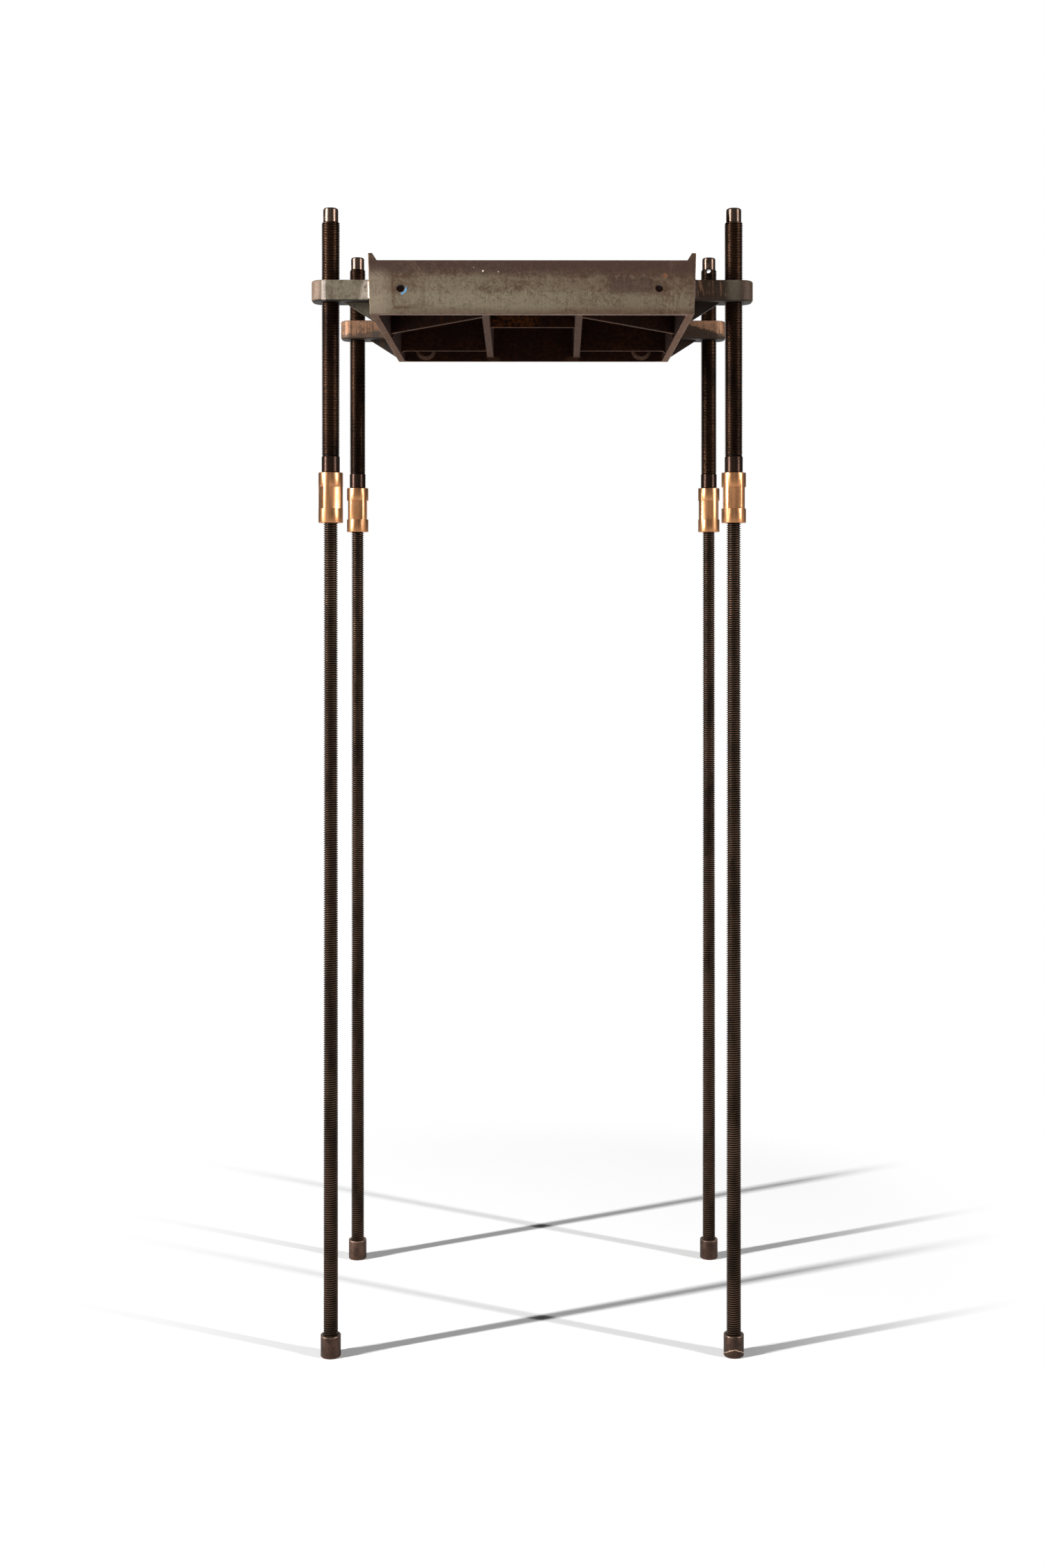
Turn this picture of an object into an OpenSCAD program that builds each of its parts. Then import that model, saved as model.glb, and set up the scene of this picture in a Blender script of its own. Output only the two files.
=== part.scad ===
// Planer stand: an iron planer bed on four elevating legs.
// Millimetres, +Z up, front towards -Y. The origin is on the floor, midway between the legs.

/* [Bed casting] */
// Width of the bed over its side guides
bed_w = 280; // [220:1:340]
// Length of the bed from front face to back face
bed_l = 333; // [270:1:400]
// Height from the skirt's bottom edge to the table surface
bed_h = 46.2; // [38:0.1:60]
// Taper of each side, inwards from the top to the bottom edge
side_taper = 1.5; // [0:0.1:3]
// Thickness of the side skirts at their bottom edge
side_wall = 6.8; // [5:0.1:9]
// Thickness of the front and back skirts
end_wall = 6.7; // [5:0.1:9]
// Thickness of the table
deck_t = 9; // [7:0.5:12]
// Draft of the side skirts inside, thicker towards the table
inner_draft = 1.1; // [0:0.1:2]
// Radius where the skirts meet the table underneath
inner_round = 6; // [3:0.5:9]
// Chamfer on the outer edges of the front, back and sides, and on the rib edges
edge_break = 0.6; // [0.3:0.1:1]

/* [Side guides] */
// Height of the side guides above the table
guide_h = 6; // [4:0.5:9]
// Width of a side guide along its top
guide_top = 4; // [3:0.1:6]
// Width of a side guide where it meets the table
guide_foot = 7.3; // [6.5:0.1:9]
// Rounding of a side guide's top edges
guide_round = 1; // [0.5:0.1:1.4]

/* [Ribs under the table] */
// Height of the rib edges above the skirt's bottom edge
rib_lift = 3.7; // [2:0.1:8]
// Thickness of the two long ribs at their free edge
long_rib = 6.6; // [5:0.1:9]
// Distance of a long rib from the middle at the front
long_rib_front = 40.4; // [32:0.1:50]
// Distance of a long rib from the middle at the back
long_rib_back = 44.2; // [32:0.1:50]
// Thickness of the cross ribs at their free edge
cross_rib = 5.2; // [4:0.1:7]
// Extra rib thickness on each side at the table
rib_draft = 0.7; // [0:0.1:1.2]
// Distance of the middle cross rib from the front face
mid_rib_y = 108; // [80:1:140]
// Distance from the front face where a diagonal rib leaves the long rib
diagonal_start = 41; // [30:1:70]
// Distance from the front face where a diagonal rib meets the side skirt
diagonal_end = 149; // [110:1:180]
// Distance of the side cross ribs from the back face
side_rib_inset = 58; // [30:1:100]
// Fillet between the ribs and the skirts
rib_fillet = 3.6; // [2:0.1:5]
// Fillet between the ribs and the table
rib_root = 3; // [1.5:0.1:4]

/* [Lugs] */
// Distance from the bed's side to the leg centres
leg_out = 36.5; // [28:0.5:60]
// Distance from the bed's end faces to the leg centres
leg_inset = 44; // [26:1:80]
// Depth of the lug tops below the table surface
lug_drop = 11.8; // [9:0.1:16]
// Thickness of the lugs
lug_t = 18.2; // [14:0.1:24]
// Width of the lugs from front to back
lug_w = 30; // [26:0.5:36]
// Distance from a leg's centre to the end of its lug
lug_reach = 16.2; // [14:0.1:20]
// Corner radius of a lug seen from above
lug_corner = 11; // [8:0.5:12]
// Rounding of the lug's top and bottom edges
lug_edge = 1.8; // [1:0.1:3]
// Fillet between a lug and the side skirt
lug_fillet = 4.5; // [3:0.1:6]
// Thickness of the web under a lug
web_t = 6; // [4:0.1:8]
// Distance from a leg's centre to the outer tip of its web
web_tip = 12.6; // [10:0.1:15]
// Chamfer at both ends of the lug bores
bore_chamfer = 0.8; // [0.3:0.1:1.5]

/* [Tapped holes] */
// Diameter of the tapped holes in the front and back skirts
tapped_d = 6.8; // [5:0.1:8.5]
// Distance of the front holes from the bed's sides
front_hole_inset = 29.5; // [20:0.5:60]
// Sideways shift of the front holes from the middle
front_hole_shift = -2; // [-4:0.5:4]
// Depth of the front holes below the table surface
front_hole_drop = 23.8; // [18:0.1:28]
// Distance of the back holes from the bed's sides
back_hole_inset = 29.8; // [20:0.1:60]
// Height of the back holes above the skirt's bottom edge
back_hole_lift = 11.4; // [11:0.1:16]
// Diameter of the tapered bosses where they grow out of the back skirt
boss_d = 21; // [18:0.5:22]
// Diameter of the bosses at their flat top
boss_top = 14; // [11:0.5:17]
// Height of the bosses inside the back skirt
boss_h = 4; // [2:0.5:6]
// Metal left between the drill point of a back hole and the top of its boss
boss_floor = 1.7; // [1:0.1:3]

/* [Elevating screws] */
// Outside diameter of the fine thread
screw_d = 15.875; // [12:0.125:19]
// Length of the fine thread
screw_thread = 204.5; // [150:0.5:280]
// Length of the smooth collar below the fine thread
screw_collar = 14.5; // [8:0.5:24]
// Chamfer at the foot of the collar and at the top of the fine thread
screw_chamfer = 0.8; // [0.3:0.1:1.2]
// Diameter of the turned tip
tip_d = 13.2; // [9:0.1:15]
// Length of the turned tip
tip_h = 12.4; // [8:0.1:20]
// Rounding of the turned tip's top edge
tip_round = 2; // [0.5:0.1:3]
// Diameter of the cross hole at the foot of the tip
pin_hole_d = 5; // [3:0.1:7]
// Depth of the cross hole's middle below the foot of the tip
pin_hole_drop = 1.3; // [0:0.1:4]
// Height of the lug undersides above the collars, which sets the height of the bed
bed_rise = 134.1; // [5:0.1:180]
// Turn of the cross hole on the legs, front left, front right, back left, back right
hole_turn = [31, 31, 26, 81]; // [0:1:180]

/* [Couplings] */
// Outside diameter of the couplings
coupling_d = 21.5; // [19:0.1:28]
// Length of the couplings
coupling_h = 44; // [36:0.5:60]
// Distance across the wrench flats
flat_across = 18.3; // [16.5:0.1:21]
// Length of the wrench flats
flat_h = 18.9; // [12:0.1:26]
// Chamfer on the coupling's end edges
coupling_chamfer = 0.7; // [0.3:0.1:1.2]
// Turn of the flats on the legs, front left, front right, back left, back right
flat_turn = [28.6, 0, 0, -15]; // [-45:0.2:45]

/* [Lower rods] */
// Outside diameter of the coarse thread
rod_d = 12.7; // [9:0.1:14]
// Length of the lower rods
rod_len = 745; // [500:1:1000]
// Gap between the rod and the screw's spigot inside the coupling
rod_space = 2; // [0.5:0.1:6]
// Chamfer on the ends of the rods and spigots
rod_chamfer = 1.2; // [0.5:0.1:2]

/* [Feet] */
// Wall of the feet round the rod
foot_wall = 2.5; // [2:0.1:6]
// Height of the feet
foot_h = 19; // [12:0.5:30]
// Thickness of the floor under the rod
foot_floor = 5; // [3:0.5:9]
// Width of the countersink round the mouth
foot_sink = 0.8; // [0.4:0.1:1.2]
// Rounding of the foot's bottom edge
foot_round = 1; // [0.5:0.1:2]

/* [Fits] */
// Radial clearance of turning and screwed fits
fit_gap = 0.05; // [0.02:0.01:0.1]
// Gap between a rod's end and the floor of its foot
seat_gap = 0.05; // [0.02:0.01:0.1]

/* [Hidden] */
$fn = 48;

// Side and end of each leg: front left, front right, back left, back right
LEG_SIDE = [-1, 1, -1, 1];
LEG_END = [-1, -1, 1, 1];
SIDES = [-1, 1];

// Overlap that joins two shapes of one casting, and overshoot of a cut
bite = 1;

// Distances between the leg centres
leg_gap_x = bed_w + 2 * leg_out;
leg_gap_y = bed_l - 2 * leg_inset;

// Depth of the rod and of the screw's spigot in the coupling
rod_grip = (coupling_h - rod_space) / 2;

// Levels of one leg, from the floor up
rod_z = foot_floor + seat_gap;
coupling_z = rod_z + rod_len - rod_grip;
collar_z = coupling_z + coupling_h;
thread_z = collar_z + screw_collar;
tip_z = thread_z + screw_thread;

// Levels of the bed
lug_z = thread_z + bed_rise;
table_z = lug_z + lug_t + lug_drop;
skirt_z = table_z - bed_h;
roof_z = table_z - deck_t;
guide_z = table_z + guide_h;
rib_z = skirt_z + rib_lift;

// Half widths of the bed at its top and bottom, and of the space inside the skirts
top_half = bed_w / 2;
foot_half = top_half - side_taper;
inner_half = foot_half - side_wall;
front_y = -bed_l / 2;
inner_front = front_y + end_wall;
inner_back = -inner_front;

// Half width of the bed's side at a level
function side_at(z) = foot_half + side_taper * (z - skirt_z) / (guide_z - skirt_z);

// Half width of the space inside the skirts at a level
function inner_at(z) = inner_half - inner_draft * (z - skirt_z) / (roof_z - skirt_z);

// Distance of a long rib's centre line from the middle, at a depth along the bed
function long_rib_at(y) = long_rib_front + (long_rib_back - long_rib_front)
    * (y - inner_front) / (inner_back - inner_front);

// Points of an arc from one angle to another
function arc(x, y, r, from, to, steps = 6) =
    [for (i = [0:steps]) let (a = from + (to - from) * i / steps) [x + r * cos(a), y + r * sin(a)]];

// Turns a profile drawn as x and height so that it runs along +Y from the origin
module along_y(length) {
    translate([0, length, 0]) rotate([90, 0, 0]) linear_extrude(length) children();
}

// Turns a profile drawn as y and height so that it runs along +X from the origin
module along_x(length) {
    rotate([90, 0, 90]) linear_extrude(length) children();
}

// Concave corner fillet in the first quadrant, with its backs sunk into both walls
module fillet_profile(r) {
    difference() {
        translate([-bite, -bite]) square(r + bite);
        translate([r, r]) circle(r);
    }
}

// Front view of the whole bed, with its two side guides
module bed_profile() {
    right = concat(
        [[foot_half - edge_break, skirt_z], [side_at(skirt_z + edge_break), skirt_z + edge_break]],
        arc(top_half - guide_round, guide_z - guide_round, guide_round, 0, 90, 4),
        arc(top_half - guide_top + guide_round, guide_z - guide_round, guide_round, 90, 150, 4),
        [[top_half - guide_foot, table_z]]
    );
    left = [for (i = [len(right) - 1:-1:0]) [-right[i][0], right[i][1]]];
    polygon(concat(right, left));
}

// Front view of the space under the table
module inside_profile() {
    corner = inner_round;
    right = concat(
        [[inner_half, skirt_z - bite], [inner_half, skirt_z]],
        arc(inner_at(roof_z - corner) - corner, roof_z - corner, corner, 0, 90)
    );
    left = [for (i = [len(right) - 1:-1:0]) [-right[i][0], right[i][1]]];
    polygon(concat(right, left));
}

// Rib section standing on a free edge of the given thickness and buried in the table
module rib_profile(thickness) {
    half = thickness / 2;
    root = half + rib_draft;
    right = concat(
        [[half - edge_break, rib_z], [half, rib_z + edge_break]],
        arc(root + rib_root, roof_z - rib_root, rib_root, 180, 90, 4),
        [[root + rib_root, roof_z + bite]]
    );
    left = [for (i = [len(right) - 1:-1:0]) [-right[i][0], right[i][1]]];
    polygon(concat(right, left));
}

// Rib between two points of the plan
module rib(from, to, thickness) {
    run = to - from;
    translate([from[0], from[1], 0])
        rotate([0, 0, atan2(run[1], run[0]) - 90])
            along_y(norm(run)) rib_profile(thickness);
}

// Small foot that carries a rib's free edge down to the side skirt
module rib_toe(at, turn, thickness) {
    translate([at[0], at[1], rib_z]) rotate([0, 0, turn]) translate([0, thickness / 2, 0])
        rotate([90, 0, 0]) linear_extrude(thickness) mirror([0, 1]) fillet_profile(rib_fillet);
}

module long_ribs() {
    for (side = SIDES) {
        rib([side * long_rib_at(inner_front - bite), inner_front - bite],
            [side * long_rib_at(inner_back + bite), inner_back + bite], long_rib);
        for (end = SIDES, face = SIDES) {
            y = end * inner_back;
            x = side * long_rib_at(y) + face * long_rib / 2;
            translate([x, y, rib_z]) scale([face, -end, 1])
                linear_extrude(roof_z - rib_z + bite) fillet_profile(rib_fillet);
        }
    }
}

module cross_ribs() {
    mid_y = front_y + mid_rib_y;
    side_y = -front_y - side_rib_inset;
    start_y = front_y + diagonal_start;
    end_y = front_y + diagonal_end;
    slope = (end_y - start_y) / (inner_half - long_rib_at(start_y));
    rib([-long_rib_at(mid_y), mid_y], [long_rib_at(mid_y), mid_y], cross_rib);
    for (side = SIDES) {
        rib([side * long_rib_at(side_y), side_y], [side * (inner_half + bite), side_y], cross_rib);
        rib([side * long_rib_at(start_y), start_y],
            [side * (inner_half + bite), end_y + bite * slope], cross_rib);
        scale([side, 1, 1]) {
            rib_toe([inner_half, side_y], 180, cross_rib - 2 * edge_break);
            rib_toe([inner_half, end_y], 180 + atan(slope), cross_rib - 2 * edge_break);
        }
    }
}

// Fillets in the upright corners between the skirts
module skirt_fillets() {
    for (side = SIDES, end = SIDES)
        translate([side * inner_half, end * inner_back, skirt_z]) scale([-side, -end, 1])
            linear_extrude(roof_z - skirt_z + bite) fillet_profile(rib_fillet);
}

// Tapered bosses that back the tapped holes of the back skirt
module back_bosses() {
    for (side = SIDES)
        translate([side * (top_half - back_hole_inset), inner_back, skirt_z + back_hole_lift])
            rotate([90, 0, 0]) {
                translate([0, 0, -bite]) cylinder(h = bite, d = boss_d);
                cylinder(h = boss_h, d1 = boss_d, d2 = boss_top);
            }
}

// Half section of a plate with rounded edges, from its middle plane outwards
module lug_half_profile(reach) {
    square([reach - lug_edge, lug_t]);
    translate([0, lug_edge]) square([reach, lug_t - 2 * lug_edge]);
    for (y = [lug_edge, lug_t - lug_edge]) translate([reach - lug_edge, y]) circle(lug_edge);
}

// One lug on the +X side, measured from its leg's centre
module lug() {
    corner_x = lug_reach - lug_corner;
    corner_y = lug_w / 2 - lug_corner;
    root_x = foot_half - leg_gap_x / 2;
    translate([root_x - bite, 0, 0]) along_x(corner_x - root_x + bite)
        for (face = [0, 1]) mirror([face, 0]) lug_half_profile(lug_w / 2);
    translate([0, -corner_y, 0]) along_y(2 * corner_y) lug_half_profile(lug_reach);
    for (face = SIDES)
        translate([corner_x, face * corner_y, 0]) rotate_extrude() lug_half_profile(lug_corner);
}

// Fillets where a lug grows out of the side skirt, measured from its leg's centre
module lug_fillets() {
    wall_x = side_at(lug_z) - leg_gap_x / 2;
    top_x = side_at(lug_z + lug_t) - leg_gap_x / 2;
    for (face = SIDES)
        translate([wall_x, face * lug_w / 2, lug_edge]) scale([1, face, 1])
            linear_extrude(lug_t - 2 * lug_edge) fillet_profile(lug_fillet);
    translate([top_x, -lug_w / 2 + lug_edge, lug_t])
        along_y(lug_w - 2 * lug_edge) fillet_profile(lug_fillet);
}

// Sloping web from the lug's underside down to the skirt's bottom edge
module lug_web() {
    tip_x = leg_gap_x / 2 - web_tip;
    translate([0, -web_t / 2, 0]) along_y(web_t)
        polygon([[foot_half - bite, skirt_z], [foot_half, skirt_z], [tip_x, lug_z],
            [tip_x, lug_z + bite], [foot_half - bite, lug_z + bite]]);
}

module lugs() {
    for (side = SIDES, end = SIDES) scale([side, 1, 1]) translate([0, end * leg_gap_y / 2, 0]) {
        translate([leg_gap_x / 2, 0, lug_z]) lug();
        translate([leg_gap_x / 2, 0, lug_z]) lug_fillets();
        lug_web();
    }
}

// Bores of the four lugs, chamfered at both ends
module lug_bores() {
    bore_r = screw_d / 2 + fit_gap;
    for (side = SIDES, end = SIDES)
        translate([side * leg_gap_x / 2, end * leg_gap_y / 2, lug_z + lug_t / 2]) {
            cylinder(h = lug_t + 2 * bite, r = bore_r, center = true);
            for (face = [0, 1]) mirror([0, 0, face]) translate([0, 0, lug_t / 2 - bore_chamfer])
                cylinder(h = bore_chamfer + bite, r1 = bore_r, r2 = bore_r + bore_chamfer + bite);
        }
}

// Tapped holes: through the front skirt, and drilled from behind into the bosses of the back skirt
module skirt_holes() {
    point_h = tapped_d / 2 * tan(31);
    depth = end_wall + boss_h - boss_floor - point_h;
    for (side = SIDES) {
        translate([front_hole_shift + side * (top_half - front_hole_inset), front_y - bite,
                table_z - front_hole_drop])
            rotate([-90, 0, 0]) cylinder(h = end_wall + 2 * bite, d = tapped_d);
        translate([side * (top_half - back_hole_inset), -front_y - depth, skirt_z + back_hole_lift])
            rotate([-90, 0, 0]) {
                cylinder(h = depth + bite, d = tapped_d);
                translate([0, 0, -point_h]) cylinder(h = point_h, d1 = 0, d2 = tapped_d);
            }
    }
}

// Square bar on edge, from the origin along +Z, that breaks an edge lying on its axis
module edge_cut(length) {
    linear_extrude(length) rotate(45) square(edge_break * sqrt(2), center = true);
}

// Broken edges round the front and back faces, apart from the ends of the side guides
module broken_edges() {
    side_h = guide_z - guide_round - skirt_z;
    lean = atan(side_taper / (guide_z - skirt_z));
    for (end = SIDES) scale([1, end, 1]) {
        translate([-top_half, front_y, skirt_z]) rotate([0, 90, 0]) edge_cut(bed_w);
        translate([guide_foot - top_half, front_y, table_z]) rotate([0, 90, 0])
            edge_cut(bed_w - 2 * guide_foot);
        for (side = SIDES) scale([side, 1, 1]) translate([foot_half, front_y, skirt_z])
            rotate([0, lean, 0]) edge_cut(side_h);
    }
}

module planer_bed() color([0.40, 0.39, 0.33])
    difference() {
        union() {
            difference() {
                translate([0, front_y, 0]) along_y(bed_l) bed_profile();
                translate([0, inner_front, 0]) along_y(inner_back - inner_front) inside_profile();
            }
            long_ribs();
            cross_ribs();
            skirt_fillets();
            back_bosses();
            lugs();
        }
        lug_bores();
        skirt_holes();
        broken_edges();
    }

// Moves a piece from the origin to its leg
module at_leg(i) {
    translate([LEG_SIDE[i] * leg_gap_x / 2, LEG_END[i] * leg_gap_y / 2, 0]) children();
}

// Screw with spigot, smooth collar, thread and turned tip
module elevating_screw(i) color([0.23, 0.17, 0.13])
    at_leg(i) difference() {
        rotate_extrude() {
            spigot_z = collar_z - rod_grip;
            polygon(concat(
                [[0, spigot_z], [rod_d / 2 - rod_chamfer, spigot_z],
                    [rod_d / 2, spigot_z + rod_chamfer], [rod_d / 2, collar_z],
                    [screw_d / 2 - screw_chamfer, collar_z], [screw_d / 2, collar_z + screw_chamfer],
                    [screw_d / 2, tip_z - screw_chamfer], [screw_d / 2 - screw_chamfer, tip_z],
                    [tip_d / 2, tip_z],
                    [tip_d / 2, tip_z + tip_h - tip_round], [tip_d / 2 - tip_round, tip_z + tip_h],
                    [0, tip_z + tip_h]]
            ));
            translate([tip_d / 2 - tip_round, tip_z + tip_h - tip_round]) circle(tip_round);
        }
        translate([0, 0, tip_z - pin_hole_drop]) rotate([90, 0, hole_turn[i] + 90])
            cylinder(h = 2 * screw_d, d = pin_hole_d, center = true);
    }

// Bronze coupling with four wrench flats between two round bands
module coupling(i) color([0.60, 0.42, 0.26])
    at_leg(i) translate([0, 0, coupling_z]) difference() {
        rotate_extrude() polygon([[0, 0], [coupling_d / 2 - coupling_chamfer, 0],
            [coupling_d / 2, coupling_chamfer], [coupling_d / 2, coupling_h - coupling_chamfer],
            [coupling_d / 2 - coupling_chamfer, coupling_h], [0, coupling_h]]);
        translate([0, 0, -bite]) cylinder(h = coupling_h + 2 * bite, r = rod_d / 2 + fit_gap);
        for (face = [0, 1]) translate([0, 0, face * coupling_h]) mirror([0, 0, 1 - face])
            translate([0, 0, -coupling_chamfer]) cylinder(h = coupling_chamfer + bite,
                r1 = rod_d / 2 + fit_gap, r2 = rod_d / 2 + fit_gap + coupling_chamfer + bite);
        for (quarter = [0:3])
            rotate([0, 0, flat_turn[i] + 90 * quarter])
                translate([flat_across / 2, -coupling_d / 2, (coupling_h - flat_h) / 2])
                    cube([coupling_d / 2, coupling_d, flat_h]);
    }

// Lower rod with chamfered ends
module leg_rod(i) color([0.22, 0.19, 0.15])
    at_leg(i) translate([0, 0, rod_z]) rotate_extrude()
        polygon([[0, 0], [rod_d / 2 - rod_chamfer, 0], [rod_d / 2, rod_chamfer],
            [rod_d / 2, rod_len - rod_chamfer], [rod_d / 2 - rod_chamfer, rod_len], [0, rod_len]]);

// Turned cup foot with a countersunk mouth
module foot(i) color([0.42, 0.38, 0.34])
    at_leg(i) difference() {
        foot_d = rod_d + 2 * foot_wall;
        rotate_extrude() {
            polygon([[0, 0], [foot_d / 2 - foot_round, 0], [foot_d / 2, foot_round],
                [foot_d / 2, foot_h], [0, foot_h]]);
            translate([foot_d / 2 - foot_round, foot_round]) circle(foot_round);
        }
        translate([0, 0, foot_floor]) cylinder(h = foot_h, r = rod_d / 2 + fit_gap);
        translate([0, 0, foot_h - foot_sink])
            cylinder(h = foot_sink + bite, r1 = rod_d / 2 + fit_gap, r2 = rod_d / 2 + foot_sink + bite);
    }

planer_bed();
elevating_screw(0);  // elevating_screw_fl
elevating_screw(1);  // elevating_screw_fr
elevating_screw(2);  // elevating_screw_bl
elevating_screw(3);  // elevating_screw_br
coupling(0);  // coupling_fl
coupling(1);  // coupling_fr
coupling(2);  // coupling_bl
coupling(3);  // coupling_br
leg_rod(0);  // leg_rod_fl
leg_rod(1);  // leg_rod_fr
leg_rod(2);  // leg_rod_bl
leg_rod(3);  // leg_rod_br
foot(0);  // foot_fl
foot(1);  // foot_fr
foot(2);  // foot_bl
foot(3);  // foot_br
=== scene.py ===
# Looks of the planer stand: iron bed, threaded steel legs, bronze couplings, lights and camera.
# Metres, +Z up, front towards -Y. A size times MM is written in millimetres.
import math

import bmesh
import bpy
from mathutils import Matrix, Vector


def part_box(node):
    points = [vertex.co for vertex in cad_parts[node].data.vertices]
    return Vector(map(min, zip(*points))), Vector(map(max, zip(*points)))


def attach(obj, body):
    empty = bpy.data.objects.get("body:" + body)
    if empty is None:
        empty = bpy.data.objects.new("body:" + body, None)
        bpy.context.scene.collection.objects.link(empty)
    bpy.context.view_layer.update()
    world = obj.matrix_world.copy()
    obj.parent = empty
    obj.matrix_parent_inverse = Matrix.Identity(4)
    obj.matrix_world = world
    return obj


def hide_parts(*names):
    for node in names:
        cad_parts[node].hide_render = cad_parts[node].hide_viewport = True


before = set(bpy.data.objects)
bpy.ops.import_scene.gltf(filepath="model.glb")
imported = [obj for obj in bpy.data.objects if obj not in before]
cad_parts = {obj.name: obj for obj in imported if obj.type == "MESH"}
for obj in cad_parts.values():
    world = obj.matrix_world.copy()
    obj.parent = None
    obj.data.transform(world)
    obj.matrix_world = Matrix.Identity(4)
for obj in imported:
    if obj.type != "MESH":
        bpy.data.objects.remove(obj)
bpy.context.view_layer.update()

MM = 0.001

# Widest gap that is closed, in a turned piece, in the casting and where flats were cut
SEAM = 1e-6
CAST_SEAM = 2e-6
CUT_SEAM = 2e-5

# Legs, with the turns of the cross hole, of the wrench flats and of the rod in degrees
LEGS = {
    "fl": {"body": "front_left", "hole_turn": 31, "flat_turn": 28.6, "rod_turn": 0},
    "fr": {"body": "front_right", "hole_turn": 31, "flat_turn": 0, "rod_turn": 110},
    "bl": {"body": "back_left", "hole_turn": 26, "flat_turn": 0, "rod_turn": 200},
    "br": {"body": "back_right", "hole_turn": 81, "flat_turn": -15, "rod_turn": 300},
}

# Fine thread of the elevating screws: eighteen turns to the inch
SCREW_R = 15.875 / 2 * MM
SCREW_PITCH = 25.4 / 18 * MM
SCREW_THREAD = 204.5 * MM
COLLAR_H = 14.5 * MM
TIP_R = 6.6 * MM
TIP_H = 12.4 * MM
TIP_ROUND = 2 * MM
HOLE_R = 2.5 * MM
HOLE_DROP = 1.3 * MM

# Coarse thread of the lower rods: thirteen turns to the inch
ROD_R = 12.7 / 2 * MM
ROD_PITCH = 25.4 / 13 * MM
ROD_CHAMFER = 1.2 * MM

# Couplings and feet
COUPLING_R = 21.5 / 2 * MM
FLAT_ACROSS = 18.3 * MM
FLAT_H = 18.9 * MM
BORE_R = 6.4 * MM
FOOT_R = 17.7 / 2 * MM
FOOT_FLOOR = 5 * MM
FOOT_SINK = 0.8 * MM
FOOT_ROUND = 1 * MM

# Steps round each turned piece and hole
SCREW_STEPS = 48
HOLE_STEPS = 40
ROD_STEPS = 32
COUPLING_STEPS = 96
FOOT_STEPS = 96

# Small edges, and the turn in degrees from which an outer, a hollow or a cast outer edge stays sharp
EDGE_ROUND = 0.5 * MM
FLAT_EDGE = 0.25 * MM
THREAD_CHAMFER = 0.8 * MM
RELIEF = 0.7 * MM
OUTER_ANGLE = 35
HOLLOW_ANGLE = 30
CAST_ANGLE = 50

# Turn in degrees from which an edge of a coupling is bevelled, and play in finding a flat face
CUT_ANGLE = 40
FACE_PLAY = 0.1 * MM

# Widest face that counts as an edge, and the least turn across it in radians
EDGE_W = 1 * MM
EDGE_TURN = 0.2

# Underside: half width, end skirts' thickness, depth below the guides, rims' height, bosses' reach
INNER_X = 134 * MM
SKIRT_T = 5.5 * MM
DECK_Z = 14 * MM
RIM_H = 5 * MM
BOSS_Y = 12 * MM

# Bed, in millimetres: width, guides above the table, lugs and holes below it, legs out from its sides
BED_W = 280
GUIDE_H = 6
LUG_DROP = 11.8
LUG_T = 18.2
LEG_OUT = 36.5
HOLE_DEPTH = 23.8
HOLES_X = (-112.5, 108.5)

# Reach of the lugs down from the top of the guides, with a millimetre to spare
LUG_LOW = (GUIDE_H + LUG_DROP + LUG_T + 1) * MM

# Marks on the faces of the casting, for its finish
BED_MARKS = ("worn", "top", "rim", "inside", "under")

# Marks on the front, in millimetres: left and right edge, then lower and upper edge below the table
BRACKET_OUTER = ((-119.6, -91), (42, 12))
BRACKET_INNER = ((-117.4, -94.6), (38.8, 15.2))
DRIPS = ((-104, -84), (40.5, 36))
SMEAR = ((66, 104), (35, 15))
SCRATCHES = ((-118, -56), (25, 1))
TICKS = ((-84, 10), (36, 22))
SHEEN_X = (112, 128)
ORANGE_SPOT = (113.6, 13)
CHALK_RING = (4.2, 5.8)

# Pale specks on the front: place across, depth below the table and radius, in millimetres
SPECKS = ((-41.9, 9.25, 0.9), (-49.9, 6.15, 0.5), (-28.7, 9.85, 0.45))

# Share of a pitch taken by one flank and by the crest, and depth as a share of the pitch
FLANK_SHARE = 0.3125
CREST_SHARE = 0.125
DEPTH_SHARE = 0.6134

# Floor: radius in metres, its greys, and where the lit part ends at the left, the right and far off
FLOOR_R = 6
FLOOR_LIT = 0.86
FLOOR_DIM = 0.25
FADE_LEFT = (-0.16, -0.46)
FADE_RIGHT = (0.2, 0.47)
FADE_LEAN = 0.21
FADE_FAR = (0.45, 0.65)

# Room, as strength of light: everywhere, low in front, low behind, all round in gloss, a strip in gloss
ROOM_DIM = 0.03
ROOM_FRONT = 0.3
ROOM_BACK = 0.12
ROOM_SEEN = 0.12
ROOM_STRIP = 0.5

# Lamps: distance, lower and upper end and width in metres, bearing in degrees and power in watts
LAMP_DISTANCE = 6
LAMP_LOW = 0.7
LAMP_HIGH = 6
LAMP_WIDTH = 0.16
KEY_LEFT = {"bearing": -64.5, "power": 1070}
KEY_RIGHT = {"bearing": 62.5, "power": 410}

# Camera, fitted to the photograph
LENS = 43.504
CAMERA_AT = (0.00675, -1.7821, 0.6673)
CAMERA_TURN = -0.207
SHIFT = (-0.01554, -0.12146)


def flat_z(bm, z):
    """The edges of an open border that lie at one level."""
    return [e for e in bm.edges if e.is_boundary and all(abs(v.co.z - z) < SEAM for v in e.verts)]


def merged(bm):
    """Closes seams and poles, and turns all faces outwards."""
    bmesh.ops.remove_doubles(bm, verts=bm.verts, dist=SEAM)
    bmesh.ops.recalc_face_normals(bm, faces=bm.faces)
    return bm


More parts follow.
